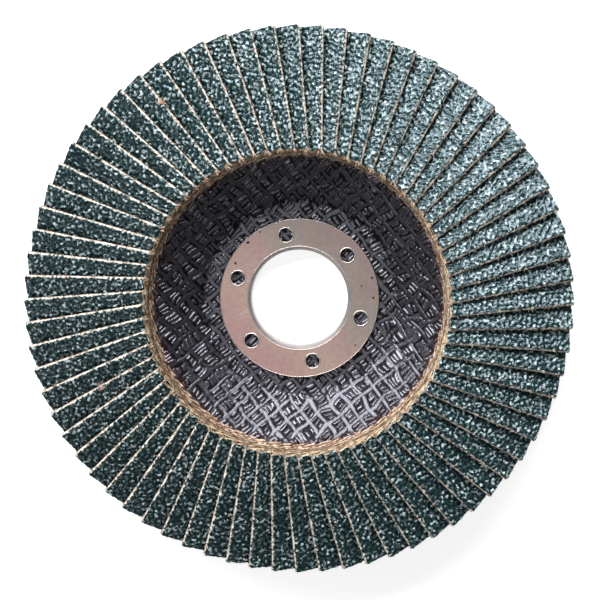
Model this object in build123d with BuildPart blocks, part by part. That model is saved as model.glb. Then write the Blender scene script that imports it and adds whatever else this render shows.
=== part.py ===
"""Flap disc for an angle grinder, 125 mm: a pressed glass-fibre backing plate with a steel ring in
its hub, a bed of adhesive on its sloping rim, and a fan of overlapping abrasive cloth flaps.

Millimetres. +Z is the grinder's spindle axis and points from the plate to the working face. The
origin is the centre of the bore in the plane of the hub's back face, on which the disc lies.
"""
from build123d import *
from math import cos, hypot, radians, sin, sqrt, tan
import os

os.makedirs("parts", exist_ok=True)

# Disc and bore
disc_radius = 62.5            # out to the highest corner of each flap
bore_radius = 11.115          # 22.23 mm spindle bore

# Steel ring: a pressed washer with a collar drawn through the plate
ring_radius = 18.35
ring_thickness = 0.6
ring_bore_bend = 0.7          # outer radius of the bend from washer to collar
ring_bend_flats = 3           # flats that the bend is drawn with
ring_edge_chamfer = 0.15
key_hole_radius = 1.6         # holes that the plate's resin keys into
key_hole_circle = 14.85
key_hole_count = 6
key_hole_start = 42.0         # degrees
collar_clearance = 0.03       # between the collar and the plate

# Backing plate: flat hub, dished wall, and a rim that slopes back by the cone angle
plate_thickness = 3.0
plate_radius = 58.0
hub_flat_radius = 22.0        # where the planes of the hub and the wall meet, on the front
shoulder_radius = 33.4        # where the planes of the wall and the rim meet, on the front
wall_angle = 33.0
cone_angle = 10.0
hub_bend = 2.0                # radius between hub and wall, on the front
shoulder_bend = 5.0           # radius between wall and rim, on the front
hub_back_chamfer = 1.5
plate_edge_chamfer = 0.5

# Adhesive
bed_thickness = 0.5
bed_margin = 1.0              # bare plate outside the bed
bead_height = 1.2             # squeezed-out bead above the bed, against the flap ends
bead_angle = 70.0             # bead's sloping face

# Flaps
flap_count = 72
flap_length = 28.5
flap_width = 14.5
flap_thickness = 1.0          # cloth and grit
edge_offset = 5.6             # upper edge of a flap from the radial line parallel to it
flap_gap = 0.05               # between a flap and the next one under it
seat_gap = 0.05               # between a flap and the adhesive
flaps_per_node = 2

slope = tan(radians(cone_angle))
flap_pitch = 360 / flap_count
hub_front = plate_thickness
ring_front = hub_front + ring_thickness
collar_radius = bore_radius + ring_thickness
shoulder_height = hub_front + (shoulder_radius - hub_flat_radius) * tan(radians(wall_angle))


def corner_near(section, x, y):
    """The corner of a profile that lies nearest to a point."""
    return section.vertices().sort_by_distance((x, y))[0]


def bed_height(radius):
    """Height of the adhesive bed's surface, a cone parallel to the plate's rim."""
    return shoulder_height + bed_thickness / cos(radians(cone_angle)) - (radius - shoulder_radius) * slope


def flap_corner(tilt):
    """Inner corner of a flap's buried edge, on its cloth side, for the flap that points along +X."""
    rise = sin(radians(tilt)) * sin(radians(cone_angle))
    lean = cos(radians(tilt)) * sin(radians(cone_angle))
    run = flap_length * cos(radians(cone_angle))
    top_corner = sqrt(disc_radius**2 - edge_offset**2)
    x = top_corner - run - flap_width * rise - flap_thickness * lean
    y = flap_width * cos(radians(tilt)) - flap_thickness * sin(radians(tilt)) - edge_offset
    z = bed_height(hypot(x + run, y)) + run * slope + seat_gap
    return Vector(x, y, z)


def flap_plane(tilt, angle):
    """Cloth side of a flap: x out along it, y towards its buried edge, z up through its thickness."""
    return Plane(Rot(Z=angle) * Pos(flap_corner(tilt)) * Rot(Y=cone_angle) * Rot(X=-tilt))


def clearance_below(tilt):
    """How far the next flap clockwise stays below the cloth side of the flap that points along +X."""
    upper = flap_plane(tilt, 0)
    lower = flap_plane(tilt, -flap_pitch)
    corners = [
        lower.from_local_coords(Vector(x, y, z))
        for x in (0, flap_length)
        for y in (0, -flap_width)
        for z in (0, flap_thickness)
    ]
    return min(-upper.to_local_coords(corner).Z for corner in corners)


def stacking_tilt():
    """Least tilt, in degrees, at which each flap lies on the next one without cutting into it."""
    low = 0.0
    high = 80.0
    while high - low > 0.001:
        middle = (low + high) / 2
        if clearance_below(middle) < flap_gap:
            low = middle
        else:
            high = middle
    return high


flap_tilt = stacking_tilt()
flap_foot = flap_corner(flap_tilt)

# Steel ring: profile of washer and collar turned about the axis, then pierced
bend_steps = [radians(90 * step / ring_bend_flats) for step in range(ring_bend_flats + 1)]
bore_bend = [
    (bore_radius + ring_bore_bend * (1 - cos(t)), ring_front - ring_bore_bend * (1 - sin(t)))
    for t in bend_steps
]
with BuildPart() as centre_ring:
    with BuildSketch(Plane.XZ) as ring_section:
        with BuildLine():
            Polyline(
                (bore_radius, 0),
                *bore_bend,
                (ring_radius, ring_front),
                (ring_radius, hub_front),
                (collar_radius, hub_front),
                (collar_radius, 0),
                close=True,
            )
        make_face()
        chamfer(corner_near(ring_section, ring_radius, ring_front), ring_edge_chamfer)
    revolve(axis=Axis.Z)
    with Locations(Plane.XY.offset(ring_front)):
        with PolarLocations(key_hole_circle, key_hole_count, start_angle=key_hole_start):
            Hole(radius=key_hole_radius, depth=ring_thickness)
centre_ring.part.label = "centre_ring"
export_step(centre_ring.part, "parts/centre_ring.step")

# Backing plate: one wall of even thickness, folded twice and turned about the axis
hub_back_corner = (hub_flat_radius + plate_thickness * tan(radians(wall_angle / 2)), 0)
with BuildPart() as backing_plate:
    with BuildSketch(Plane.XZ) as plate_section:
        with BuildLine():
            Polyline(
                (collar_radius + collar_clearance, hub_front),
                (hub_flat_radius, hub_front),
                (shoulder_radius, shoulder_height),
                (plate_radius, shoulder_height - (plate_radius - shoulder_radius) * slope),
            )
            offset(amount=plate_thickness, side=Side.RIGHT, kind=Kind.INTERSECTION)
        make_face()
        chamfer(plate_section.vertices().sort_by(Axis.X)[-2:], plate_edge_chamfer)
        chamfer(corner_near(plate_section, *hub_back_corner), hub_back_chamfer)
        fillet(corner_near(plate_section, hub_flat_radius, hub_front), radius=hub_bend)
        fillet(corner_near(plate_section, shoulder_radius, shoulder_height), radius=shoulder_bend)
    revolve(axis=Axis.Z)
backing_plate.part.label = "backing_plate"
export_step(backing_plate.part, "parts/backing_plate.step")

# Adhesive: an even bed under the flaps with a bead squeezed out at their inner ends
bead_reach = bead_height / (sin(radians(flap_tilt)) * cos(radians(cone_angle)))
bead_radius = hypot(
    flap_foot.X + bead_reach * sin(radians(flap_tilt)) * sin(radians(cone_angle)),
    max(0, flap_foot.Y - bead_reach * cos(radians(flap_tilt))),
) - seat_gap
bead_top = bed_height(bead_radius) + bead_height
bed_radius = plate_radius - bed_margin
foot_depth = bed_thickness + plate_thickness / 2
bead_foot = bed_height(bead_radius) - foot_depth
with BuildPart() as adhesive_ring:
    with BuildSketch(Plane.XZ):
        with BuildLine():
            Polyline(
                (bead_radius - (bead_top - bead_foot) / tan(radians(bead_angle)), bead_foot),
                (bead_radius, bead_top),
                (bead_radius, bed_height(bead_radius)),
                (bed_radius, bed_height(bed_radius)),
                (bed_radius, bed_height(bed_radius) - foot_depth),
                close=True,
            )
        make_face()
    revolve(axis=Axis.Z)
    add(backing_plate.part, mode=Mode.SUBTRACT)
adhesive_ring.part.label = "adhesive_ring"
export_step(adhesive_ring.part, "parts/adhesive_ring.step")

# Flaps: equal rectangles of coated cloth, tilted so that each lies on the next one clockwise
for node in range(flap_count // flaps_per_node):
    with BuildPart() as flaps:
        for place in range(flaps_per_node):
            angle = 90 - flap_pitch * (node * flaps_per_node + place)
            with BuildSketch(flap_plane(flap_tilt, angle)):
                Rectangle(flap_length, flap_width, align=(Align.MIN, Align.MAX))
            extrude(amount=flap_thickness)
    name = f"flap_pair_{node + 1:02d}"
    flaps.part.label = name
    export_step(flaps.part, f"parts/{name}.step")
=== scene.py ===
"""Flap disc for an angle grinder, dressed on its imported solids. Metres, +Z out of the working face."""
import math

import bpy
import numpy as np
from mathutils import Matrix, Vector


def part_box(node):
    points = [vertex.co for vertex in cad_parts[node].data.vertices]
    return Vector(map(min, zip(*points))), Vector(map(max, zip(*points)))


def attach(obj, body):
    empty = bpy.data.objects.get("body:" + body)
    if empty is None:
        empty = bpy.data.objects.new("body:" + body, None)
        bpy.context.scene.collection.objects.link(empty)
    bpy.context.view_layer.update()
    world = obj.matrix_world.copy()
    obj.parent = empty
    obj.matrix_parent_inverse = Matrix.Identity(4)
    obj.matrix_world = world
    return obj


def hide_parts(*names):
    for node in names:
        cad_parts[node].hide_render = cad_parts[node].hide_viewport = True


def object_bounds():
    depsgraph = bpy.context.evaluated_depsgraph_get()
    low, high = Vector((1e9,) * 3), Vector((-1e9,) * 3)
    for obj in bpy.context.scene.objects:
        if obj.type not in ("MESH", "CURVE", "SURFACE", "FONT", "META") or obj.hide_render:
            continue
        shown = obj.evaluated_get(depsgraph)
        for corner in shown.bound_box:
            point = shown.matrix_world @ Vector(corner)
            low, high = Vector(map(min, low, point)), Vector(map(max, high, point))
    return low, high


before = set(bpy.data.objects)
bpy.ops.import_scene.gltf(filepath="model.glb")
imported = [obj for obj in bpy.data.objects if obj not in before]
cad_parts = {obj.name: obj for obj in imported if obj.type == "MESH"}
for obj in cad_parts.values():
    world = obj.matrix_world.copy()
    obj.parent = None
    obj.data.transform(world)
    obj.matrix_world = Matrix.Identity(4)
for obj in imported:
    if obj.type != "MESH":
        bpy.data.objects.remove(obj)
cad_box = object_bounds()

# ---------------------------------------------------------------------------------------------
# Camera. The disc lies on its hub, flaps up, and a long lens looks down on it, a few degrees off
# its axis towards +X and +Y.
MM = 0.001
ring_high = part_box("centre_ring")[1]
camera_distance = 480 * MM           # from the front face of the steel ring
camera_azimuth = math.radians(2.97)
camera_elevation = math.radians(5.74)
focal_length = 125.2                 # in millimetres, as is the sensor
sensor_width = 36
frame_shift = (0.0012, -0.003)       # shares of the frame's width

right = Vector((math.cos(camera_azimuth), 0, -math.sin(camera_azimuth)))
toward = Vector((
    math.sin(camera_azimuth) * math.cos(camera_elevation),
    math.sin(camera_elevation),
    math.cos(camera_azimuth) * math.cos(camera_elevation),
))
upward = toward.cross(right)
aim = Vector((0, 0, ring_high.z))
lens = bpy.data.cameras.new("camera")
lens.sensor_width = sensor_width
lens.lens = focal_length
lens.shift_x, lens.shift_y = frame_shift
lens.clip_start = 10 * MM
camera = bpy.data.objects.new("camera", lens)
camera.matrix_world = (
    Matrix.Translation(aim + toward * camera_distance)
    @ Matrix((right, upward, toward)).transposed().to_4x4()
)
bpy.context.collection.objects.link(camera)
bpy.context.scene.camera = camera
bpy.context.scene.view_settings.view_transform = "Standard"


# ---------------------------------------------------------------------------------------------
# Studio. A white card table and a white surround. A wide soft lamp like a window stands beyond the
# top of the disc and gives nearly all the light; a weak one overhead and a small one at the side
# lift the shadows.
def linear(code):
    """An sRGB hex colour as the linear RGBA that a shader takes."""
    channels = [int(code[i:i + 2], 16) / 255 for i in (1, 3, 5)]
    return tuple(c / 12.92 if c <= 0.04045 else ((c + 0.055) / 1.055) ** 2.4 for c in channels) + (1.0,)


def add_node(tree, kind, links=None, **settings):
    """A node of that kind, with its settings; links maps input names or numbers to values or sockets.

    Numbered inputs: Mix takes its factor at 0, two numbers at 2 and 3, or two colours at 6 and 7.
    Map Range takes its value at 0, from 1 to 2, and gives from 3 to 4.
    """
    made = tree.nodes.new(kind)
    for name, value in settings.items():
        setattr(made, name, value)
    for name, value in (links or {}).items():
        socket = made.inputs[name]
        if isinstance(value, bpy.types.NodeSocket):
            tree.links.new(value, socket)
        else:
            socket.default_value = value
    return made


def new_material(name):
    """An empty material with its node tree and output."""
    material = bpy.data.materials.new(name)
    material.use_nodes = True
    tree = material.node_tree
    tree.nodes.clear()
    output = tree.nodes.new("ShaderNodeOutputMaterial")
    return material, tree, output


lamps = [  # name, azimuth and elevation in degrees, distance, width and depth in metres, watts
    ("window_lamp", 106, 37, 0.80, 1.35, 0.32, 14.0),
    ("overhead_lamp", 250, 84, 1.00, 0.55, 0.55, 1.2),
    ("side_lamp", 232, 50, 0.80, 0.18, 0.18, 0.6),
]
for name, azimuth, elevation, distance, width, depth, watts in lamps:
    light = bpy.data.lights.new(name, "AREA")
    light.shape = "RECTANGLE"
    light.size = width
    light.size_y = depth
    light.energy = watts
    lamp = bpy.data.objects.new(name, light)
    around = math.radians(azimuth)
    above = math.radians(elevation)
    way = Vector((
        math.cos(around) * math.cos(above),
        math.sin(around) * math.cos(above),
        math.sin(above),
    ))
    lamp.location = way * distance
    lamp.rotation_euler = way.to_track_quat("Z", "Y").to_euler()
    bpy.context.collection.objects.link(lamp)

# The surround lights the disc weakly and shows as white. Glossy surfaces mirror only a small share
# of that white, because all of it would turn the black resin grey.
ambient_strength = 0.075
shown_in_gloss = 0.03
surround = bpy.data.worlds.new("studio_surround")
surround.use_nodes = True
bpy.context.scene.world = surround
tree = surround.node_tree
tree.nodes.clear()
rays = add_node(tree, "ShaderNodeLightPath")
mirrored = add_node(tree, "ShaderNodeMath", {
    0: rays.outputs["Is Glossy Ray"], 1: rays.outputs["Is Transmission Ray"],
}, operation="MAXIMUM")
sees_white = add_node(tree, "ShaderNodeMath", {
    0: mirrored.outputs[0], 1: shown_in_gloss, 2: rays.outputs["Is Camera Ray"],
}, operation="MULTIPLY_ADD")
ambient = add_node(tree, "ShaderNodeBackground", {"Color": (1, 1, 1, 1), "Strength": ambient_strength})
white = add_node(tree, "ShaderNodeBackground", {"Color": (1, 1, 1, 1), "Strength": 1.0})
seen = add_node(tree, "ShaderNodeMixShader", {
    0: sees_white.outputs[0], 1: ambient.outputs[0], 2: white.outputs[0],
})
add_node(tree, "ShaderNodeOutputWorld", {"Surface": seen.outputs[0]})

# White card: it takes the disc's shadow, and a lift that only camera and mirror rays see makes the
# rest of it plain white.
table_size = 3.0
table_gap = 0.02 * MM                # under the disc
table_lift = 0.70
table_material, tree, output = new_material("white_table_card")
rays = add_node(tree, "ShaderNodeLightPath")
card = add_node(tree, "ShaderNodeBsdfDiffuse", {"Color": linear("#e6e6e6")})
lift = add_node(tree, "ShaderNodeEmission", {"Color": (1, 1, 1, 1), "Strength": table_lift})
lifted = add_node(tree, "ShaderNodeAddShader", {0: card.outputs[0], 1: lift.outputs[0]})
mirrored = add_node(tree, "ShaderNodeMath", {
    0: rays.outputs["Is Glossy Ray"], 1: rays.outputs["Is Transmission Ray"],
}, operation="MAXIMUM")
sees_white = add_node(tree, "ShaderNodeMath", {
    0: rays.outputs["Is Camera Ray"], 1: mirrored.outputs[0],
}, operation="MAXIMUM")
shown = add_node(tree, "ShaderNodeMixShader", {
    0: sees_white.outputs[0], 1: card.outputs[0], 2: lifted.outputs[0],
})
tree.links.new(shown.outputs[0], output.inputs["Surface"])
bpy.ops.mesh.primitive_plane_add(size=table_size, location=(0, 0, cad_box[0].z - table_gap))
table = bpy.context.object
table.name = "table"
table.data.materials.append(table_material)

# ---------------------------------------------------------------------------------------------
# Backing plate. Pressed from layers of coarse glass cloth in black phenolic resin: a flat hub, a
# dished wall and a rim that slopes back. The press leaves the weave of the cloth standing proud.
PLATE = "backing_plate"
hub_front = 3.0 * MM
hub_bend = (21.41 * MM, 5.0 * MM, 2.0 * MM)  # centre radius, centre height, radius
shoulder_bend = (34.47 * MM, 5.13 * MM, 5.0 * MM)
wall_angle = math.radians(33)
rim_angle = math.radians(10)
plate_radius = 58.0 * MM
collar_radius = 11.75 * MM
wall_start = 22.0 * MM               # where hub and wall planes meet
shoulder_radius = 33.4 * MM          # where wall and rim planes meet
shoulder_height = 10.40 * MM
dish_edge = 33.6 * MM                # woven mesh ends here, under the adhesive
dish_inner = 12.2 * MM               # and here, under the steel ring

mesh_repeat = 3.30 * MM              # from one flat band of the open mesh to the next
mesh_turn = math.radians(40)
band_half = 0.42 * MM                # half the width of a flat band
bar_step = 0.90 * MM                 # between the yarns that show in a window
bar_half = 0.37 * MM                 # half the width of a yarn
bar_reach = 1.10 * MM                # half its length
bar_lean = 0.30                      # spread of the yarns' slant, as a slope
bar_stray = 0.20                     # and of their shift, in mm
crosswise_share = 0.30               # windows whose yarns lie the other way
mesh_sway = 0.55 * MM                # how far the mesh wanders
sway_length = 6 * MM
yarn_shiver = 0.03 * MM              # and each yarn
shiver_length = 1.7 * MM
crumb_size = 0.9 * MM                # grain of the broken resin, coarsened to show
mesh_depth = 0.50 * MM


def smooth_step(low, high, value):
    """0 below low, 1 above high, and a smooth ramp between them."""
    t = np.clip((value - low) / (high - low), 0, 1)
    return t * t * (3 - 2 * t)


def ripple(x, y, wavelength, seed, waves=20):
    """Smooth random relief from -1 to 1, about a wavelength from crest to crest."""
    draw = np.random.default_rng(seed)
    heading = draw.uniform(0, math.tau, waves)
    number = math.tau / (wavelength * draw.uniform(0.75, 1.5, waves))
    phase = draw.uniform(0, math.tau, waves)
    total = np.zeros(np.broadcast(x, y).shape)
    for angle, k, start in zip(heading, number, phase):
        total += np.cos(k * (x * math.cos(angle) + y * math.sin(angle)) + start)
    return np.clip(total / math.sqrt(waves * 1.3), -1.6, 1.6) / 1.6


def mesh_object(name, points, faces, layers=None):
    """An object of those points and faces, smooth shaded, with its per-point colour layers."""
    mesh = bpy.data.meshes.new(name)
    mesh.from_pydata(points.tolist(), [], faces if isinstance(faces, list) else faces.tolist())
    for layer, values in (layers or {}).items():
        colours = np.ones((len(points), 4))
        colours[:, :values.shape[1]] = values
        attribute = mesh.color_attributes.new(layer, "FLOAT_COLOR", "POINT")
        attribute.data.foreach_set("color", colours.ravel())
    mesh.polygons.foreach_set("use_smooth", [True] * len(mesh.polygons))
    mesh.update()
    made = bpy.data.objects.new(name, mesh)
    bpy.context.collection.objects.link(made)
    return made


def plate_front(radius):
    """Height of the plate's front face at a radius."""
    radius = np.asarray(radius)
    centre, height, bend = hub_bend
    hub = height - np.sqrt(np.clip(bend**2 - (radius - centre)**2, 0, None))
    wall = hub_front + (radius - wall_start) * math.tan(wall_angle)
    peak_radius, peak_height, peak = shoulder_bend
    arc = peak_height + np.sqrt(np.clip(peak**2 - (radius - peak_radius)**2, 0, None))
    rim_start = peak_radius + peak * math.sin(rim_angle)
    rim = peak_height + peak * math.cos(rim_angle) - (radius - rim_start) * math.tan(rim_angle)
    out = np.where(radius < centre, hub_front, hub)
    out = np.where(radius > centre + bend * math.sin(wall_angle), wall, out)
    out = np.where(radius > peak_radius - peak * math.sin(wall_angle), arc, out)
    return np.where(radius > rim_start, rim, out)


def mesh_relief(x, y, turn, seed, flood):
    """Open glass mesh pressed into resin: relief, share of bare glass and share of pressed crown.

    Each runs from 0 to 1. The flood is how much resin has run over the mesh.
    """
    moved_x = x + mesh_sway * ripple(x, y, sway_length, seed)
    moved_y = y + mesh_sway * ripple(x, y, sway_length, seed + 1)
    moved_x = moved_x + yarn_shiver * ripple(x, y, shiver_length, seed + 5)
    moved_y = moved_y + yarn_shiver * ripple(x, y, shiver_length, seed + 6)
    u = (moved_x * math.cos(turn) + moved_y * math.sin(turn)) / mesh_repeat
    v = (-moved_x * math.sin(turn) + moved_y * math.cos(turn)) / mesh_repeat
    window_u, window_v = np.floor(u).astype(int), np.floor(v).astype(int)
    in_u = (u - window_u - 0.5) * mesh_repeat
    in_v = (v - window_v - 0.5) * mesh_repeat
    draw = np.random.default_rng(seed + 2)
    chance = draw.uniform(0, 1, (40, 40, 16))[window_u % 40, window_v % 40]
    crosswise = chance[..., 0] < crosswise_share
    along_bar = np.where(crosswise, in_v, in_u)
    over_bar = np.where(crosswise, in_u, in_v)
    bars = np.zeros_like(u)
    paleness = np.zeros_like(u)
    for place in (-1, 0, 1):         # three yarns to a window
        lean = (chance[..., 3 + place] - 0.5) * bar_lean
        middle = place * bar_step + (chance[..., 6 + place] - 0.5) * bar_stray * MM + lean * along_bar
        half = bar_half * (0.75 + 0.35 * chance[..., 4 + place])
        reach_here = bar_reach * (0.55 + 0.55 * chance[..., 9 + place])
        round_over = np.clip(1.15 - np.abs((over_bar - middle) / half) ** 4, 0, 1)
        ends = smooth_step(reach_here + 0.08 * MM, reach_here - 0.14 * MM, np.abs(along_bar))
        bar = round_over * ends * (0.76 + 0.24 * chance[..., 1 + place])
        paleness = np.where(bar > bars, 0.35 + 0.65 * chance[..., 13 + place], paleness)
        bars = np.maximum(bars, bar)
    edge_u = mesh_repeat / 2 - np.abs(in_u)
    edge_v = mesh_repeat / 2 - np.abs(in_v)
    weave = np.where((np.round(u) + np.round(v)).astype(int) % 2 == 0, 1, -1)
    near_crossing = np.cos(math.pi * np.clip(np.maximum(edge_u, edge_v) / (1.2 * MM), 0, 1)) * 0.5 + 0.5
    rise = 0.10 * weave * near_crossing  # over one crossing yarn and under the next
    flat_u = smooth_step(band_half + 0.06 * MM, band_half - 0.10 * MM, edge_u) * (0.44 + rise)
    flat_v = smooth_step(band_half + 0.06 * MM, band_half - 0.10 * MM, edge_v) * (0.44 - rise)
    bands = np.maximum(flat_u, flat_v)
    crumbs = 0.5 + 0.5 * ripple(x, y, crumb_size, seed + 7, 26)
    bands = bands - 0.13 * crumbs * smooth_step(0.1, 0.3, bands)
    bars = bars * (0.93 + 0.07 * crumbs)
    resin = 0.08 + 0.13 * ripple(x, y, 3.5 * MM, seed + 3) + 0.10 * (crumbs - 0.5)
    resin = resin + flood * (0.26 + 0.40 * ripple(x, y, 6 * MM, seed + 4) + 0.34 * (crumbs - 0.5))
    resin = np.clip(resin, 0.0, 0.9)
    bare = smooth_step(0.05, 0.22, bars - np.maximum(bands, resin)) * paleness
    pressed = smooth_step(0.02, 0.16, np.maximum(bands * 1.15, bars * 0.8) - 0.6 * resin - 0.12)
    return np.clip(np.maximum(np.maximum(bands, bars), resin), 0, 1), bare, pressed


step = 0.18 * MM                     # between points of the dish's grid
sunk = 0.02 * MM                     # highest yarns lie this far under the face
hub_pool = 22.6 * MM                 # resin pools in the bend at the hub
pool_width = 1.1 * MM
rim_flood = (31.0 * MM, 32.4 * MM)   # and runs in from the rim
adhesive_stain = (31.2 * MM, 32.8 * MM)
reach = int(dish_edge / step) + 2
line = np.arange(-reach, reach + 1) * step
grid_u, grid_v = np.meshgrid(line, line, indexing="ij")
grid_x = grid_u * math.cos(mesh_turn) - grid_v * math.sin(mesh_turn)
grid_y = grid_u * math.sin(mesh_turn) + grid_v * math.cos(mesh_turn)
radius = np.hypot(grid_x, grid_y)
flood = np.exp(-((radius - hub_pool) / pool_width) ** 2) + 0.8 * smooth_step(*rim_flood, radius)
relief, bare, pressed = mesh_relief(grid_x, grid_y, mesh_turn, 11, flood)
drop = (1 - relief) * mesh_depth + sunk
grid_z = plate_front(radius) - drop
shoulder = smooth_step(*adhesive_stain, radius)
inside = (radius < dish_edge) & (radius > dish_inner)
keep = inside[:-1, :-1] & inside[1:, :-1] & inside[1:, 1:] & inside[:-1, 1:]
count = len(line)
number = np.arange(count * count).reshape(count, count)
quads = np.stack([number[:-1, :-1], number[1:, :-1], number[1:, 1:], number[:-1, 1:]], -1)[keep]
used, quads = np.unique(quads, return_inverse=True)
points = np.stack([grid_x, grid_y, grid_z], -1).reshape(-1, 3)[used]
layer = np.stack([bare, pressed, shoulder], -1).reshape(-1, 3)[used]
dish = mesh_object("plate_woven_dish", points, quads.reshape(-1, 4), {"cloth": layer})

# The plate's rim, back and bore, turned as one skin that meets the woven dish at both ends.
plate_thick = 3.0 * MM
back_lean = plate_thick / math.cos(rim_angle)
rim_front = float(plate_front(plate_radius))
hub_corner = wall_start + plate_thick * math.tan(wall_angle / 2)
hub_bevel = 1.5 * MM
rim_bevel = 0.5 * MM
back_flat = (12.5, 21.4, 0.5)        # rows on the hub's back, in mm: first, last and step
wall_rows = 20
rim_rows = 46
last_bore_row = 3                    # rows of the bore, of the bevel and of the front stay plain
front_rows = 13
front_radii = (54, 50, 46, 42, 38, 35.5, 34.5, 33.8)       # mm
back_relief = 0.22 * MM
back_turn = mesh_turn + math.radians(8)
back_flood = 0.5                     # resin covers much of the weave on the back
skin = [                             # radius and height
    (dish_inner + 0.6 * MM, hub_front - 0.7 * MM),
    (collar_radius, hub_front - 0.02 * MM),
    (collar_radius, 0.0),
]
skin += [(r * MM, 0.0) for r in np.arange(*back_flat)]
skin += [
    (hub_corner - hub_bevel, 0.0),
    (hub_corner + hub_bevel * math.cos(wall_angle), hub_bevel * math.sin(wall_angle)),
]
back_top_radius = shoulder_radius + plate_thick * math.tan((wall_angle + rim_angle) / 2 - rim_angle)
back_top = float(shoulder_height + (shoulder_radius - back_top_radius) * math.tan(rim_angle) - back_lean)
wall_foot = skin[-1]
for share in np.linspace(0, 1, wall_rows)[1:]:
    skin.append((
        wall_foot[0] + (back_top_radius - wall_foot[0]) * share,
        wall_foot[1] + (back_top - wall_foot[1]) * share,
    ))
rim_corner = (plate_radius - plate_thick * math.sin(rim_angle), rim_front - plate_thick * math.cos(rim_angle))
for share in np.linspace(0, 1, rim_rows)[1:]:
    skin.append((
        back_top_radius + (rim_corner[0] - rim_bevel - back_top_radius) * share,
        back_top + (rim_corner[1] + rim_bevel * math.tan(rim_angle) - back_top) * share,
    ))
skin += [
    (rim_corner[0] + rim_bevel * math.sin(rim_angle), rim_corner[1] + rim_bevel * math.cos(rim_angle)),
    (plate_radius - rim_bevel * math.sin(rim_angle), rim_front - rim_bevel * math.cos(rim_angle)),
    (plate_radius - rim_bevel, rim_front + rim_bevel * math.tan(rim_angle)),
]
skin += [(r * MM, float(plate_front(r * MM))) for r in front_radii]
skin += [(dish_edge - 0.3 * MM, float(plate_front(dish_edge)) - 0.6 * MM)]
skin = np.array(skin)
turns = 520                          # points round the skin
angle = np.arange(turns) * math.tau / turns
ring_r = np.repeat(skin[:, 0][:, None], turns, 1)
ring_z = np.repeat(skin[:, 1][:, None], turns, 1)
back_x = ring_r * np.cos(angle)
back_y = ring_r * np.sin(angle)
relief, bare, pressed = mesh_relief(back_x, back_y, back_turn, 29, back_flood)
rows = np.arange(len(skin))[:, None]
on_back = (rows > last_bore_row) & (rows < len(skin) - front_rows)
lift = np.where(on_back, (1 - relief) * back_relief, 0)
back_z = ring_z + lift
rows = len(skin)
number = np.arange(rows * turns).reshape(rows, turns)
after = np.roll(number, -1, 1)
quads = np.stack([number[:-1], after[:-1], after[1:], number[1:]], -1).reshape(-1, 4)
points = np.stack([back_x, back_y, back_z], -1).reshape(-1, 3)
layer = np.stack([bare * on_back, pressed * on_back, np.zeros_like(relief)], -1).reshape(-1, 3)
plate_back = mesh_object("plate_rim_and_back", points, quads, {"cloth": layer})

# Black phenolic resin over glass cloth, pressed: the crowns of the mesh are flattened and glossy and
# catch pale violet-grey lights; the hollows are dull and coloured near black, partly the bare resin and
# partly painted shade in the recesses; adhesive has stained the shoulder a trace of reddish brown. Pale grey
# spots are painted glints. The filaments and the painted glints are coarsened to show.
plate_material, tree, output = new_material("pressed_glass_cloth_in_black_resin")
cloth = add_node(tree, "ShaderNodeAttribute", attribute_name="cloth")
split = add_node(tree, "ShaderNodeSeparateColor", {0: cloth.outputs["Color"]})
place = add_node(tree, "ShaderNodeTexCoord").outputs["Object"]
patches = add_node(tree, "ShaderNodeTexNoise", {"Vector": place, "Scale": 1 / (6 * MM), "Detail": 2.0})
bare = add_node(tree, "ShaderNodeMix", {
    0: patches.outputs["Fac"], 6: linear("#222028"), 7: linear("#504e5a"),
}, data_type="RGBA")
# Hollows near black, crowns a little lighter: the black resin, with painted shade in the recesses.
flat = add_node(tree, "ShaderNodeMix", {
    0: split.outputs[1], 6: linear("#040307"), 7: linear("#1b191f"),
}, data_type="RGBA")
body = add_node(tree, "ShaderNodeMix", {
    0: split.outputs[0], 6: flat.outputs[2], 7: bare.outputs[2],
}, data_type="RGBA")
stain_noise = add_node(tree, "ShaderNodeTexNoise", {"Vector": place, "Scale": 1 / (1.5 * MM), "Detail": 3.0})
stain = add_node(tree, "ShaderNodeMath", {
    0: split.outputs[2], 1: stain_noise.outputs["Fac"],
}, operation="MULTIPLY")
stained = add_node(tree, "ShaderNodeMix", {
    0: stain.outputs[0], 6: body.outputs[2], 7: linear("#381a13"),
}, data_type="RGBA")
# Pale grey spots where the noise peaks: painted glints on the resin.
plate_glint_noise = add_node(tree, "ShaderNodeTexNoise", {
    "Vector": place, "Scale": 1 / (0.8 * MM), "Detail": 2.0, "Roughness": 0.6,
})
plate_glint_cut = add_node(tree, "ShaderNodeMapRange", {0: plate_glint_noise.outputs["Fac"], 1: 0.70, 2: 0.76})
plate_with_painted_glints = add_node(tree, "ShaderNodeMix", {
    0: plate_glint_cut.outputs[0], 6: stained.outputs[2], 7: linear("#b9b6bd"),
}, data_type="RGBA")
matt = add_node(tree, "ShaderNodeMapRange", {0: split.outputs[1], 3: 0.55, 4: 0.36})
shine = add_node(tree, "ShaderNodeMapRange", {0: split.outputs[1], 3: 0.09, 4: 0.62})
gloss = add_node(tree, "ShaderNodeMix", {0: split.outputs[0], 2: matt.outputs[0], 3: 0.16}, data_type="FLOAT")
turned = add_node(tree, "ShaderNodeMapping", {
    "Vector": place, "Rotation": (0, 0, -mesh_turn),
    "Scale": (1 / (0.16 * MM), 1 / (0.16 * MM), 1 / (0.5 * MM)),
})
strands = add_node(tree, "ShaderNodeTexNoise", {"Vector": turned.outputs[0], "Scale": 1.0, "Detail": 1.0})
bump = add_node(tree, "ShaderNodeBump", {
    "Strength": 0.3, "Distance": 0.05 * MM, "Height": strands.outputs["Fac"],
})
skin_shader = add_node(tree, "ShaderNodeBsdfPrincipled", {
    "Base Color": plate_with_painted_glints.outputs[2], "Roughness": gloss.outputs[0], "Normal": bump.outputs[0],
    "IOR": 1.9, "Specular IOR Level": shine.outputs[0], "Specular Tint": linear("#f1f2ff"),
})
tree.links.new(skin_shader.outputs[0], output.inputs["Surface"])
for piece in (dish, plate_back):
    piece.data.materials.append(plate_material)
    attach(piece, "root")
    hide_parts(PLATE)

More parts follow.
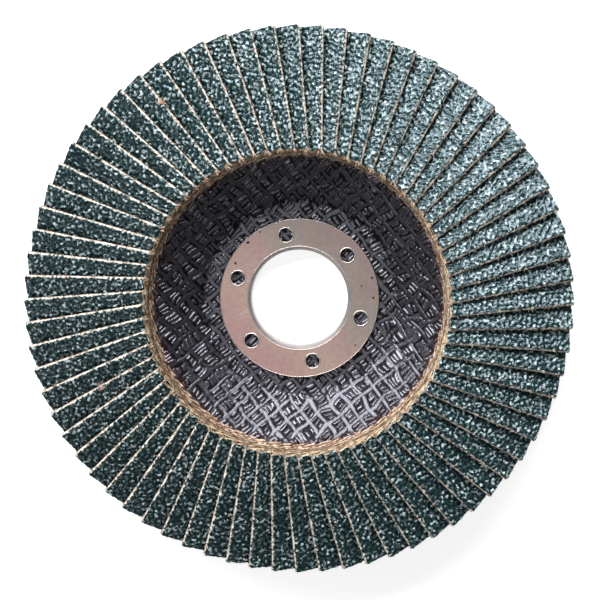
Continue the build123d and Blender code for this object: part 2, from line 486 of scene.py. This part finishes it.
# ---------------------------------------------------------------------------------------------
# Steel ring. A washer pressed from zinc-plated steel sheet, its collar drawn through the plate;
# six holes let the resin key into it. A few specks of resin have splashed on its face.
RING = "centre_ring"

# Dull zinc-plated pressed steel: a soft, blurred mirror whose tone drifts between pinkish and plain grey,
# with a painted reflection that makes it lighter and pinker towards -X -Y and greyer and darker towards +X
# +Y;
# clouded by grime, worn neutral along the bend of the bore and scuffed pale in one spot.
tone_drift = 13 * MM                 # how far the drift shifts the tones
worn_bend = (11.4 * MM, 12.1 * MM)   # radius where the wear is full, and where it ends
scuff_centre = (-12.6 * MM, -3.6 * MM, ring_high.z)
scuff_reach = (0.6 * MM, 2.4 * MM)
steel_material, tree, output = new_material("dull_zinc_plated_steel")
place = add_node(tree, "ShaderNodeTexCoord").outputs["Object"]
across = add_node(tree, "ShaderNodeSeparateXYZ", {0: place})
drift = add_node(tree, "ShaderNodeTexNoise", {
    "Vector": place, "Scale": 1 / (9 * MM), "Detail": 5.0, "Roughness": 0.66,
})
drift_shift = add_node(tree, "ShaderNodeMapRange", {0: drift.outputs["Fac"], 3: -tone_drift, 4: tone_drift})
# Painted reflection: the tone ramps along X + Y, lighter towards -X -Y, shifted by the noise.
slant = add_node(tree, "ShaderNodeMath", {0: across.outputs[0], 1: across.outputs[1]}, operation="ADD")
shifted = add_node(tree, "ShaderNodeMath", {0: slant.outputs[0], 1: drift_shift.outputs[0]}, operation="ADD")
along = add_node(tree, "ShaderNodeMapRange", {0: shifted.outputs[0], 1: -22 * MM, 2: 24 * MM})
plating_and_painted_reflection = add_node(tree, "ShaderNodeValToRGB", {0: along.outputs[0]})
tones = plating_and_painted_reflection.color_ramp.elements
tones[0].color = linear("#c2a09c")
tones[1].color = linear("#a69390")
for position, tone in ((0.5, "#c0a29e"), (0.70, "#ab9f98"), (0.28, "#c6ac9f")):
    tones.new(position).color = linear(tone)
grime = add_node(tree, "ShaderNodeTexNoise", {
    "Vector": place, "Scale": 1 / (1.2 * MM), "Detail": 4.0, "Roughness": 0.65,
})
grime_cut = add_node(tree, "ShaderNodeMapRange", {
    0: grime.outputs["Fac"], 1: 0.32, 2: 0.72, 3: 0.82, 4: 1.12,
})
toned = add_node(tree, "ShaderNodeMix", {
    0: 1.0, 6: plating_and_painted_reflection.outputs[0], 7: grime_cut.outputs[0],
}, data_type="RGBA", blend_type="MULTIPLY")
flat_place = add_node(tree, "ShaderNodeCombineXYZ", {0: across.outputs[0], 1: across.outputs[1]})
from_axis = add_node(tree, "ShaderNodeVectorMath", {0: flat_place.outputs[0]}, operation="LENGTH")
bend_worn = add_node(tree, "ShaderNodeMapRange", {
    0: from_axis.outputs["Value"], 1: worn_bend[0], 2: worn_bend[1], 3: 0.85, 4: 0.0,
})
worn = add_node(tree, "ShaderNodeMix", {
    0: bend_worn.outputs[0], 6: toned.outputs[2], 7: linear("#a9a9ab"),
}, data_type="RGBA")
scuff_gap = add_node(tree, "ShaderNodeVectorMath", {0: place, 1: scuff_centre}, operation="DISTANCE")
scuff_near = add_node(tree, "ShaderNodeMapRange", {
    0: scuff_gap.outputs["Value"], 1: scuff_reach[0], 2: scuff_reach[1], 3: 1.0, 4: 0.0,
})
scuff_grain = add_node(tree, "ShaderNodeTexNoise", {
    "Vector": place, "Scale": 1 / (0.5 * MM), "Detail": 3.0, "Roughness": 0.7,
})
scuff_cut = add_node(tree, "ShaderNodeMapRange", {
    0: scuff_grain.outputs["Fac"], 1: 0.52, 2: 0.60, 3: 0.0, 4: 0.7,
})
scuff = add_node(tree, "ShaderNodeMath", {
    0: scuff_near.outputs[0], 1: scuff_cut.outputs[0],
}, operation="MULTIPLY")
scuffed = add_node(tree, "ShaderNodeMix", {
    0: scuff.outputs[0], 6: worn.outputs[2], 7: linear("#ded2c6"),
}, data_type="RGBA")
wear = add_node(tree, "ShaderNodeMapRange", {0: grime.outputs["Fac"], 1: 0.3, 2: 0.7, 3: 0.38, 4: 0.52})
scratches = add_node(tree, "ShaderNodeMapping", {
    "Vector": place, "Rotation": (0, 0, 0.5), "Scale": (1 / (3 * MM), 1 / (0.2 * MM), 1 / MM),
})
scratch_noise = add_node(tree, "ShaderNodeTexNoise", {
    "Vector": scratches.outputs[0], "Scale": 1.0, "Detail": 2.0,
})
bump = add_node(tree, "ShaderNodeBump", {
    "Strength": 0.25, "Distance": 0.03 * MM, "Height": scratch_noise.outputs["Fac"],
})
steel = add_node(tree, "ShaderNodeBsdfPrincipled", {
    "Base Color": scuffed.outputs[2], "Metallic": 1.0, "Roughness": wear.outputs[0],
    "Normal": bump.outputs[0],
})
tree.links.new(steel.outputs[0], output.inputs["Surface"])
ring_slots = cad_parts[RING].data.materials
if len(ring_slots) == 0:
    ring_slots.append(steel_material)
for slot in range(len(ring_slots)):
    ring_slots[slot] = steel_material

# The press raises a burr round each hole and round the ring's outer edge, polished by handling.
burr_material, tree, output = new_material("polished_zinc_burr")
place = add_node(tree, "ShaderNodeTexCoord").outputs["Object"]
nicks = add_node(tree, "ShaderNodeTexNoise", {"Vector": place, "Scale": 1 / (0.6 * MM), "Detail": 2.0})
burr_tone = add_node(tree, "ShaderNodeMix", {
    0: nicks.outputs["Fac"], 6: linear("#cfc4bf"), 7: linear("#f2efec"),
}, data_type="RGBA")
burr_rough = add_node(tree, "ShaderNodeMapRange", {0: nicks.outputs["Fac"], 3: 0.22, 4: 0.38})
burr_steel = add_node(tree, "ShaderNodeBsdfPrincipled", {
    "Base Color": burr_tone.outputs[2], "Metallic": 1.0, "Roughness": burr_rough.outputs[0],
})
tree.links.new(burr_steel.outputs[0], output.inputs["Surface"])
hole_count = 6
hole_circle = 14.85                  # mm
hole_radius = 1.6
hole_start = 42                      # degrees
burrs = [  # centre x, y, radius, width, height, steps round
    (0, 0, 18.22, 0.09, 0.11, 240),
    (0, 0, 11.98, 0.10, 0.05, 180),
]
for place_round in range(hole_count):
    turn = math.radians(hole_start + 360 / hole_count * place_round)
    hole_x = hole_circle * math.cos(turn)
    hole_y = hole_circle * math.sin(turn)
    burrs.append((hole_x, hole_y, hole_radius + 0.13, 0.16, 0.11, 48))
burr_points = []
burr_faces = []
for x, y, size, wide, high, steps in burrs:
    base = len(burr_points)
    section = [(-wide, -0.02), (-0.7 * wide, 0.6 * high), (0, high), (0.7 * wide, 0.6 * high), (wide, -0.02)]
    for spoke in range(steps):
        turn = math.tau * spoke / steps
        uneven = 1 + 0.25 * math.sin(3 * turn + x) + 0.12 * math.sin(11 * turn + y)
        for out, up in section:
            reach_out = size + out
            burr_points.append((
                x + reach_out * math.cos(turn),
                y + reach_out * math.sin(turn),
                ring_high.z / MM + up * uneven,
            ))
    for spoke in range(steps):
        here = base + len(section) * spoke
        following = base + len(section) * ((spoke + 1) % steps)
        for row in range(len(section) - 1):
            burr_faces.append((here + row, here + row + 1, following + row + 1, following + row))
burrs_piece = mesh_object("ring_burrs", np.array(burr_points) * MM, burr_faces)
burrs_piece.data.materials.append(burr_material)
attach(burrs_piece, "root")

# Specks of the plate's resin that splashed on the ring: low, uneven black drops.
resin_specks = [  # x, y, radius in mm
    (-11.8, 12.8, 0.34), (-14.7, 8.0, 0.28), (16.7, 4.8, 0.28), (14.3, 2.9, 0.20), (17.0, 0.2, 0.26),
    (-9.0, 15.2, 0.2), (12.9, -10.8, 0.2),
]
spokes = 14
drop_rings = ((0.5, 0.28), (0.85, 0.12), (1.0, -0.02))     # radius and height, as shares of the size
speck_points = []
speck_faces = []
for x, y, size in resin_specks:
    base = len(speck_points)
    speck_points.append((x, y, ring_high.z / MM + 0.35 * size))
    for share, lift in drop_rings:
        for spoke in range(spokes):
            turn = math.tau * spoke / spokes
            wobble = 1 + 0.18 * math.sin(2 * turn + x) + 0.1 * math.sin(5 * turn + y)
            speck_points.append((
                x + size * share * wobble * math.cos(turn),
                y + size * share * wobble * math.sin(turn),
                ring_high.z / MM + lift * size,
            ))
    for spoke in range(spokes):
        after_spoke = (spoke + 1) % spokes
        speck_faces.append((base, base + 1 + spoke, base + 1 + after_spoke))
        for ring in range(len(drop_rings) - 1):
            low = base + 1 + ring * spokes
            high = low + spokes
            speck_faces.append((low + spoke, high + spoke, high + after_spoke, low + after_spoke))
specks = mesh_object("resin_specks", np.array(speck_points) * MM, speck_faces)
specks.data.materials.append(plate_material)
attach(specks, "root")

# ---------------------------------------------------------------------------------------------
# Adhesive. Amber epoxy cast in a bed on the plate's rim; the flaps squeeze a lumpy bead of it out
# round their inner ends, and it darkens to red brown where it is thick.
BED = "adhesive_ring"
flap_count = 72
bead_profile = [  # radius and height in mm, up the bead's sloping face
    (32.75, 9.72), (33.05, 10.5), (33.32, 11.3), (33.48, 11.9), (33.58, 12.06),
]
bed_profile = [  # and down behind it, out along the bed
    (33.68, 11.5), (33.72, 11.0), (36, 10.42), (40, 9.72), (45, 8.84),
    (50, 7.96), (54, 7.26), (57, 6.72), (57, 6.3),
]
bead_rows = 15                       # rows of points up the bead
layers_on_bead = 2.6                 # flap ends that cross the bead, one over another
ledge_depth = 0.44                   # mm, pressed into the bead by each flap end
turns = 1080                         # points round the bead, fifteen to a flap
share = np.linspace(0, 1, bead_rows)
profile_share = np.linspace(0, 1, len(bead_profile))
bead_r = np.interp(share, profile_share, [r for r, _ in bead_profile])
bead_z = np.interp(share, profile_share, [z for _, z in bead_profile])
section_r = np.concatenate([bead_r, [r for r, _ in bed_profile]]) * MM
section_z = np.concatenate([bead_z, [z for _, z in bed_profile]]) * MM
share = np.concatenate([share, np.ones(len(bed_profile))])[:, None]
angle = np.arange(turns) * math.tau / turns
bed_r = np.repeat(section_r[:, None], turns, 1)
bed_z = np.repeat(section_z[:, None], turns, 1)
round_x, round_y = bed_r * np.cos(angle), bed_r * np.sin(angle)
lumps = ripple(round_x, round_y + bed_z, 2.4 * MM, 41)
fine_lumps = ripple(round_x + bed_z, round_y, 0.8 * MM, 42)
on_bead = (np.arange(len(section_r)) < bead_rows)[:, None]
terrace = angle[None, :] / (math.tau / flap_count) + layers_on_bead * share + 0.35 * lumps + 0.12 * fine_lumps
terrace = terrace - np.floor(terrace)
ledge = smooth_step(0.0, 0.10, terrace) * smooth_step(0.80, 0.40, terrace)
bed_r = bed_r + on_bead * (ledge_depth * (1 - ledge) + 0.10 + 0.10 * lumps + 0.05 * fine_lumps) * MM
bed_z = bed_z - on_bead * 0.12 * MM * np.clip(lumps + 0.3, 0, 1)
points = np.stack([bed_r * np.cos(angle), bed_r * np.sin(angle), bed_z], -1).reshape(-1, 3)
number = np.arange(len(section_r) * turns).reshape(len(section_r), turns)
after = np.roll(number, -1, 1)
quads = np.stack([number[:-1], number[1:], after[1:], after[:-1]], -1).reshape(-1, 4)
# First channel: the ledge mask, which paints shade into the steps between the ledges.
layer = np.stack([ledge * on_bead, 0.5 + 0.5 * lumps, 0.5 + 0.5 * fine_lumps], -1).reshape(-1, 3)
bed = mesh_object("adhesive_bead", points, quads, {"resin": layer})

# Amber epoxy, cast and cured: pale tan on the ledges where flap ends lie, darkened in the steps pressed
# between them by painted shade, and brown to nearly black in patches where it is thick, with a smooth,
# slightly wet gloss.
glue_material, tree, output = new_material("cured_amber_epoxy")
place = add_node(tree, "ShaderNodeTexCoord").outputs["Object"]
resin = add_node(tree, "ShaderNodeAttribute", attribute_name="resin")
split = add_node(tree, "ShaderNodeSeparateColor", {0: resin.outputs["Color"]})
thick = add_node(tree, "ShaderNodeTexNoise", {
    "Vector": place, "Scale": 1 / (0.9 * MM), "Detail": 4.0, "Roughness": 0.65,
})
# The ledge mask darkens the pressed steps between the ledges, painted shade; the noise adds darker patches of
# the epoxy's own.
step_shade_and_thick_tone = add_node(tree, "ShaderNodeMath", {
    0: split.outputs[0], 1: 0.42, 2: thick.outputs["Fac"],
}, operation="MULTIPLY_ADD")
amber = add_node(tree, "ShaderNodeValToRGB", {0: step_shade_and_thick_tone.outputs[0]})
tones = amber.color_ramp.elements
tones[0].position = 0.42
tones[0].color = linear("#1c0a08")
tones[1].position = 0.98
tones[1].color = linear("#f2ddc0")
tones.new(0.77).color = linear("#7e5440")
glue = add_node(tree, "ShaderNodeBsdfPrincipled", {
    "Base Color": amber.outputs[0], "Roughness": 0.32, "IOR": 1.55,
    "Coat Weight": 0.3, "Coat Roughness": 0.15,
})
tree.links.new(glue.outputs[0], output.inputs["Surface"])
bed.data.materials.append(glue_material)
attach(bed, "root")
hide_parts(BED)

# ---------------------------------------------------------------------------------------------
# Flaps. Seventy-two rectangles cut from abrasive cloth: a tan polyester-cotton twill, resin, and a
# coat of blue-black zirconia grit under a clear size coat. Each lies on the next one clockwise, so
# only its upper edge strip shows: cut cloth along the edge, then grit.
FLAPS = [f"flap_pair_{number:02d}" for number in range(1, flap_count // 2 + 1)]
flap_length = 28.5                   # mm, as are all sizes in a flap's own frame
flap_width = 14.5
flap_thickness = 1.0
cloth_thickness = 0.52
along_count = 118                    # cells along a flap
fine_count = 22                      # cells across the strip that shows
coarse_count = 4                     # and across the part under the next flap
strip_at_hub = 3.7                   # width of the strip that shows, at a flap's two ends
strip_at_rim = 6.5
grit_grain = 1.04                    # crest to crest of the clumped grit, coarsened to show
twill_step = (0.62, 0.5)             # pitch of the cloth's twill along and across, coarsened too
edge_rows = 3                        # rows of faces down a cut edge


def flap_frames(node):
    """Origin and axes of each flap in a node: x out along it, y to its buried edge, z up through it."""
    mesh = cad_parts[node].data
    corner = np.array([v.co for v in mesh.vertices])
    _, same = np.unique(np.round(corner, 6), axis=0, return_inverse=True)
    same = same.ravel()
    group = np.arange(same.max() + 1)
    for polygon in mesh.polygons:
        members = same[list(polygon.vertices)]
        low = group[members].min()
        for value in set(group[members]):
            group[group == value] = low
    frames = []
    for value in sorted(set(group)):
        own = np.unique(np.round(corner[np.isin(same, np.nonzero(group == value)[0])], 7), axis=0)
        middle = own.mean(0)
        spread = own - own[0]
        length = np.linalg.norm(spread, axis=1)
        axes = []
        for size in (flap_length, flap_width, flap_thickness):
            axes.append(spread[np.argmin(np.abs(length - size * MM))] / (size * MM))
        out, side, up = (axis / np.linalg.norm(axis) for axis in axes)
        out = out if out @ middle > 0 else -out
        up = up if up[2] > 0 else -up
        side = np.cross(up, out)
        origin = middle - (out * flap_length + side * flap_width + up * flap_thickness) * MM / 2
        frames.append((origin, np.array([out, side, up])))
    return frames


along = np.concatenate([[0, 0.14, 0.28], np.linspace(0.44, flap_length, along_count - 2)])[:, None]
strip = strip_at_hub + (strip_at_rim - strip_at_hub) * along / flap_length
fine = 0.48 + np.linspace(0, 1, fine_count - 2)[None, :] * (strip - 0.48)
fine = np.concatenate([np.tile([0, 0.16, 0.32], (len(along), 1)), fine], 1)
coarse = strip + (flap_width - strip) * (np.arange(1, coarse_count + 1) / coarse_count)[None, :]
flap_y = np.concatenate([fine, coarse], 1)
flap_x = np.repeat(along, flap_y.shape[1], 1)
last_i = along_count
last_j = fine_count + coarse_count
top_number = np.arange(flap_x.size).reshape(flap_x.shape)
top_quads = np.stack([top_number[:-1, :-1], top_number[1:, :-1], top_number[1:, 1:], top_number[:-1, 1:]], -1)
loop_i = np.concatenate([
    np.arange(last_i), np.full(last_j, last_i), np.arange(last_i, 0, -1), np.zeros(last_j, int),
])
loop_j = np.concatenate([
    np.zeros(last_i, int), np.arange(last_j), np.full(last_i, last_j), np.arange(last_j, 0, -1),
])
loop = top_number[loop_i, loop_j]


def flap_mesh(seed):
    """Points, faces and colour layer of one flap in its own frame, each a little different."""
    x, y = flap_x.copy(), flap_y.copy()
    bare = 0.27 + 0.14 * ripple(x, 0 * y, 3.4, seed) + 0.27 * ripple(x, 0.3 * y, 0.9, seed + 1)
    bare_end = 0.32 + 0.14 * ripple(0 * x, y, 2.2, seed + 2) + 0.10 * ripple(0 * x, y, 0.7, seed + 3)
    grit = smooth_step(-0.10, 0.12, y - bare) * smooth_step(-0.10, 0.12, x - bare_end)
    clumps = ripple(x, y, grit_grain, seed + 4, 26)
    crumbs = ripple(x, y, 0.5 * grit_grain, seed + 5, 22)
    crest = np.clip(0.5 + 0.55 * clumps + 0.22 * crumbs, 0, 1)
    cut = smooth_step(-0.05, 1.0, y / bare) * smooth_step(-0.15, 1.0, x / bare_end)
    fuzz = 0.05 * np.sin(math.tau * x / twill_step[0] + 2 * clumps) * np.cos(math.tau * y / twill_step[1])
    cloth = 0.06 + (cloth_thickness - 0.06) * cut + fuzz * cut
    height = cloth + grit * (0.02 + 0.46 * crest**1.2)
    full_height = flap_thickness - 0.005
    height = np.minimum(height, full_height)
    under_next = smooth_step(0.1, 0.9, y - strip)    # pressed flat under the next flap
    height = height + (full_height - height) * under_next
    y[:, 0] += 0.07 + 0.07 * ripple(x[:, 0], 0, 1.1, seed + 6)
    x[0, :] += 0.05 + 0.04 * ripple(0, y[0, :], 0.8, seed + 7)
    x[-1, :] -= 0.09 + 0.09 * ripple(0, y[-1, :], 0.9, seed + 8) + 0.12 * smooth_step(0.6, 0.0, y[-1, :])
    top = np.stack([x, y, height], -1).reshape(-1, 3)
    # Darker towards the foot of the cut edge: partly resin taken up by the cloth, partly painted shade where
    # the next flap meets it.
    low = smooth_step(0.36, 0.06, cut)
    end = smooth_step(0.55, 0.25, x)
    # Second channel: the grit's crest height, painted lighter on crests and darker in valleys as shade; on
    # the cloth, the darkening low on the cut edge.
    top_layer = np.stack([grit.ravel(), np.where(grit > 0.3, crest, low).ravel(), end.ravel()], -1)
    points, layers = [top], [top_layer]
    rim = top[loop]
    inward = np.zeros((len(loop), 2))
    inward[loop_j == 0, 1] = 1
    inward[(loop_i == 0), 0] = 1
    inward[(loop_i == last_i), 0] = -1
    arc = np.cumsum(np.linalg.norm(np.diff(rim, axis=0, prepend=rim[:1]), axis=1))
    faces = [top_quads.reshape(-1, 4)]
    previous = loop
    start = len(top)
    for row in range(1, edge_rows + 1):
        share = row / edge_rows
        fray = 0.07 + 0.07 * ripple(arc, share * 3, 0.7, seed + 10 + row)
        ledge = np.stack([
            rim[:, 0] + inward[:, 0] * fray, rim[:, 1] + inward[:, 1] * fray, rim[:, 2] * (1 - share),
        ], -1)
        if row == edge_rows:
            ledge[:, 2] = 0.0
        points.append(ledge)
        # Down the cut edge the colour darkens row by row: partly resin taken up, partly painted shade in the
        # crevice.
        stain = np.full(len(loop), 0.25 + 0.5 * share)
        layers.append(np.stack([np.zeros(len(loop)), stain, (loop_i == 0).astype(float)], -1))
        current = start + np.arange(len(loop))
        faces.append(np.stack([previous, current, np.roll(current, -1), np.roll(previous, -1)], -1))
        previous = current
        start += len(loop)
    return np.concatenate(points), np.concatenate(faces), previous[::-1], np.concatenate(layers)


flap_objects = []
flap_spots = []
for node_place, node in enumerate(FLAPS):
    node_points, node_faces, node_layers = [], [], []
    offset = 0
    for flap_place, (origin, axes) in enumerate(flap_frames(node)):
        local, quads, under, layer = flap_mesh(1000 + 100 * (2 * node_place + flap_place))
        node_points.append(origin + local * MM @ axes)
        node_faces += (quads + offset).tolist() + [(under + offset).tolist()]
        node_layers.append(layer)
        offset += len(local)
        flap_spots.append((origin, axes))
    piece = mesh_object(
        f"abrasive_flaps_{node_place + 1:02d}", np.concatenate(node_points), node_faces,
        {"coat": np.concatenate(node_layers)},
    )
    flap_objects.append(piece)

# Coated cloth: zirconia grit in clear resin gives wet-looking blue glints on dark teal; the grit's colour is
# lighter on the crests and darker in the valleys, painted shade, and pale blue-white spots on the crests are
# painted glints. The cut cloth is cream with pink and orange dye spots, and turns dark brown low on its cut
# edges, partly resin that has run into it and partly painted shade in the crevice where the next flap meets
# it. Grains and dye spots are coarsened to show.
flap_material, tree, output = new_material("zirconia_grit_on_resined_cloth")
coat = add_node(tree, "ShaderNodeAttribute", attribute_name="coat")
split = add_node(tree, "ShaderNodeSeparateColor", {0: coat.outputs["Color"]})
place = add_node(tree, "ShaderNodeTexCoord").outputs["Object"]
grain = add_node(tree, "ShaderNodeTexNoise", {
    "Vector": place, "Scale": 1 / (0.45 * MM), "Detail": 3.0, "Roughness": 0.6,
})
# Crest height times grain noise: lighter crests and darker valleys are painted shade, the noise a random
# grain tone.
grit_crest_shade_and_grain = add_node(tree, "ShaderNodeMath", {
    0: split.outputs[1], 1: grain.outputs["Fac"],
}, operation="MULTIPLY")
grit_tone = add_node(tree, "ShaderNodeValToRGB", {0: grit_crest_shade_and_grain.outputs[0]})
tones = grit_tone.color_ramp.elements
tones[0].position = 0.10
tones[0].color = linear("#0b1717")
tones[1].position = 0.66
tones[1].color = linear("#4f787f")
tones.new(0.36).color = linear("#213b3d")
# Random Voronoi cells on the crests turn pale blue-white: painted glints.
tip = add_node(tree, "ShaderNodeTexVoronoi", {"Vector": place, "Scale": 1 / (0.58 * MM)})
painted_grit_glint_pick = add_node(tree, "ShaderNodeSeparateColor", {0: tip.outputs["Color"]})
painted_grit_glint_cut = add_node(tree, "ShaderNodeMapRange", {0: painted_grit_glint_pick.outputs[0], 1: 0.68, 2: 0.95})
painted_grit_glint_on_crest = add_node(tree, "ShaderNodeMapRange", {0: split.outputs[1], 1: 0.36, 2: 0.60})
painted_grit_glint_mask = add_node(tree, "ShaderNodeMath", {
    0: painted_grit_glint_cut.outputs[0], 1: painted_grit_glint_on_crest.outputs[0],
}, operation="MULTIPLY")
grit_with_painted_glints = add_node(tree, "ShaderNodeMix", {
    0: painted_grit_glint_mask.outputs[0], 6: grit_tone.outputs[0], 7: linear("#cfe2e6"),
}, data_type="RGBA")
dye = add_node(tree, "ShaderNodeTexNoise", {
    "Vector": place, "Scale": 1 / (1.1 * MM), "Detail": 3.0, "Roughness": 0.65,
})
cloth_tone = add_node(tree, "ShaderNodeValToRGB", {0: dye.outputs["Fac"]})
tones = cloth_tone.color_ramp.elements
tones[0].position = 0.34
tones[0].color = linear("#8f7b6a")
tones[1].position = 0.50
tones[1].color = linear("#eee8dc")
for position, tone in ((0.43, "#cdbba6"), (0.60, "#e4d8c6"), (0.69, "#c98f7a")):
    tones.new(position).color = linear(tone)
# Brown low on the cloth's cut edges: partly resin taken up, partly painted shade in the crevice under the
# next flap.
soak_and_crevice_shade = add_node(tree, "ShaderNodeMapRange", {0: split.outputs[1], 1: 0.45, 2: 0.72})
edge_soak = add_node(tree, "ShaderNodeMath", {0: 1.0, 1: split.outputs[0]}, operation="SUBTRACT")
soak_and_crevice_shade_mask = add_node(tree, "ShaderNodeMath", {0: soak_and_crevice_shade.outputs[0], 1: edge_soak.outputs[0]}, operation="MULTIPLY")
end_cut = add_node(tree, "ShaderNodeMapRange", {0: dye.outputs["Fac"], 1: 0.40, 2: 0.60})
end_tone = add_node(tree, "ShaderNodeMix", {
    0: end_cut.outputs[0], 6: linear("#75502f"), 7: linear("#e8d0a8"),
}, data_type="RGBA")
cut_tone = add_node(tree, "ShaderNodeMix", {
    0: split.outputs[2], 6: cloth_tone.outputs[0], 7: end_tone.outputs[2],
}, data_type="RGBA")
cloth_with_soak_and_shade = add_node(tree, "ShaderNodeMix", {
    0: soak_and_crevice_shade_mask.outputs[0], 6: cut_tone.outputs[2], 7: linear("#4a261a"),
}, data_type="RGBA")
edge_noise = add_node(tree, "ShaderNodeMath", {0: grain.outputs["Fac"], 1: -0.5}, operation="ADD")
edge_shift = add_node(tree, "ShaderNodeMath", {
    0: edge_noise.outputs[0], 1: 0.8, 2: split.outputs[0],
}, operation="MULTIPLY_ADD")
is_grit = add_node(tree, "ShaderNodeMapRange", {0: edge_shift.outputs[0], 1: 0.42, 2: 0.58})
colour = add_node(tree, "ShaderNodeMix", {
    0: is_grit.outputs[0], 6: cloth_with_soak_and_shade.outputs[2], 7: grit_with_painted_glints.outputs[2],
}, data_type="RGBA")
rough = add_node(tree, "ShaderNodeMapRange", {0: is_grit.outputs[0], 3: 0.88, 4: 0.21})
fine_grain = add_node(tree, "ShaderNodeTexNoise", {
    "Vector": place, "Scale": 1 / (0.30 * MM), "Detail": 2.0, "Roughness": 0.55,
})
bump = add_node(tree, "ShaderNodeBump", {
    "Strength": 0.25, "Distance": 0.12 * MM, "Height": fine_grain.outputs["Fac"],
})
flap_shader = add_node(tree, "ShaderNodeBsdfPrincipled", {
    "Base Color": colour.outputs[2], "Roughness": rough.outputs[0], "Normal": bump.outputs[0], "IOR": 1.76,
    "Specular Tint": linear("#d3eaf4"),
})
tree.links.new(flap_shader.outputs[0], output.inputs["Surface"])
for piece, node in zip(flap_objects, FLAPS):
    piece.data.materials.append(flap_material)
    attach(piece, "root")
    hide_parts(node)

# ---------------------------------------------------------------------------------------------
# Frayed threads. Cut ends of the cloth's yarns: tufts at the flaps' inner corners, where the
# knife leaves them longest, and single fibres here and there along the upper edges.
tuft_count = 9
edge_fibre_count = 14
fibre_radius = 0.075                 # mm; a yarn of several filaments, coarsened to show
fibre_segments = 4
fibre_sides = 3
nub_fibre_count = 34
thread_points = []
thread_faces = []
thread_layer = []
draw = np.random.default_rng(77)


def add_thread(root_point, aim_way, length, radius, tone):
    """One curved three-sided fibre from a point, in metres."""
    way = aim_way / np.linalg.norm(aim_way)
    curl = np.cross(way, draw.normal(size=3))
    curl /= np.linalg.norm(curl)
    side = np.cross(way, curl)
    bend = draw.uniform(-0.9, 0.9)
    base = len(thread_points)
    for step_place in range(fibre_segments + 1):
        t = step_place / fibre_segments
        centre = root_point + way * length * t + curl * length * bend * 0.5 * t * t
        thick = radius * (1 - 0.55 * t)
        for corner_place in range(fibre_sides):
            turn = math.tau * corner_place / fibre_sides
            thread_points.append(centre + (curl * math.cos(turn) + side * math.sin(turn)) * thick)
            thread_layer.append((tone, t, 0))
    for step_place in range(fibre_segments):
        low = base + fibre_sides * step_place
        high = low + fibre_sides
        for corner in range(fibre_sides):
            after = (corner + 1) % fibre_sides
            thread_faces.append((low + corner, low + after, high + after, high + corner))
    tip = base + fibre_sides * fibre_segments
    thread_faces.append((base, base + 2, base + 1))
    thread_faces.append((tip, tip + 1, tip + 2))


for origin, axes in flap_spots:
    for _ in range(tuft_count):
        spot = np.array([draw.uniform(0.1, 0.3), draw.uniform(0.0, 1.2) ** 1.5, draw.uniform(0.25, 0.55)])
        way = np.array([-1.0, draw.uniform(-0.9, 0.5), draw.uniform(-0.5, 0.25)])
        length = draw.uniform(0.4, 1.4) * MM
        tone = draw.uniform(0, 1)
        add_thread(origin + spot * MM @ axes, way @ axes, length, fibre_radius * MM, tone)
    for _ in range(edge_fibre_count):
        spot = np.array([draw.uniform(0.5, flap_length - 0.8), 0.12, draw.uniform(0.3, 0.5)])
        way = np.array([draw.uniform(-1, 1), -0.35, draw.uniform(-0.2, 0.25)])
        length = draw.uniform(0.3, 0.8) * MM
        tone = draw.uniform(0, 1)
        add_thread(origin + spot * MM @ axes, way @ axes, length, 0.8 * fibre_radius * MM, tone)
fibre_nubs = [(-44.1, -19.3), (-30.4, 44.9)]   # mm: two balls of fluff caught on the upper edges
for x, y in fibre_nubs:
    hits = [piece.ray_cast(Vector((x, y, 30)) * MM, Vector((0, 0, -1))) for piece in flap_objects]
    top = max(hit[1].z for hit in hits if hit[0])
    for _ in range(nub_fibre_count):
        spot = np.array([x, y, top / MM - 0.05]) + draw.normal(size=3) * (0.45, 0.30, 0.02)
        way = draw.normal(size=3) * (1, 1, 0.35)
        length = draw.uniform(0.5, 1.1) * MM
        tone = draw.uniform(0.5, 1.0)
        add_thread(spot * MM, way, length, fibre_radius * MM, tone)
thread_layer = np.array(thread_layer)
threads = mesh_object("frayed_threads", np.array(thread_points), thread_faces, {"yarn": thread_layer})

# Frayed cotton and polyester yarn: fully matt and fluffy, cream with patches of orange-brown dye.
thread_material, tree, output = new_material("frayed_cotton_polyester_yarn")
yarn = add_node(tree, "ShaderNodeAttribute", attribute_name="yarn")
split = add_node(tree, "ShaderNodeSeparateColor", {0: yarn.outputs["Color"]})
place = add_node(tree, "ShaderNodeTexCoord").outputs["Object"]
dye = add_node(tree, "ShaderNodeTexNoise", {"Vector": place, "Scale": 1 / (0.7 * MM), "Detail": 2.0})
mixed = add_node(tree, "ShaderNodeMath", {0: split.outputs[0], 1: dye.outputs["Fac"]}, operation="MULTIPLY")
yarn_tone = add_node(tree, "ShaderNodeValToRGB", {0: mixed.outputs[0]})
tones = yarn_tone.color_ramp.elements
tones[0].color = linear("#f0e4d2")
tones[1].position = 0.6
tones[1].color = linear("#c98f6e")
tones.new(0.3).color = linear("#e6c4a8")
yarn_shader = add_node(tree, "ShaderNodeBsdfPrincipled", {
    "Base Color": yarn_tone.outputs[0], "Roughness": 0.9, "Sheen Weight": 0.3,
})
tree.links.new(yarn_shader.outputs[0], output.inputs["Surface"])
threads.data.materials.append(thread_material)
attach(threads, "root")
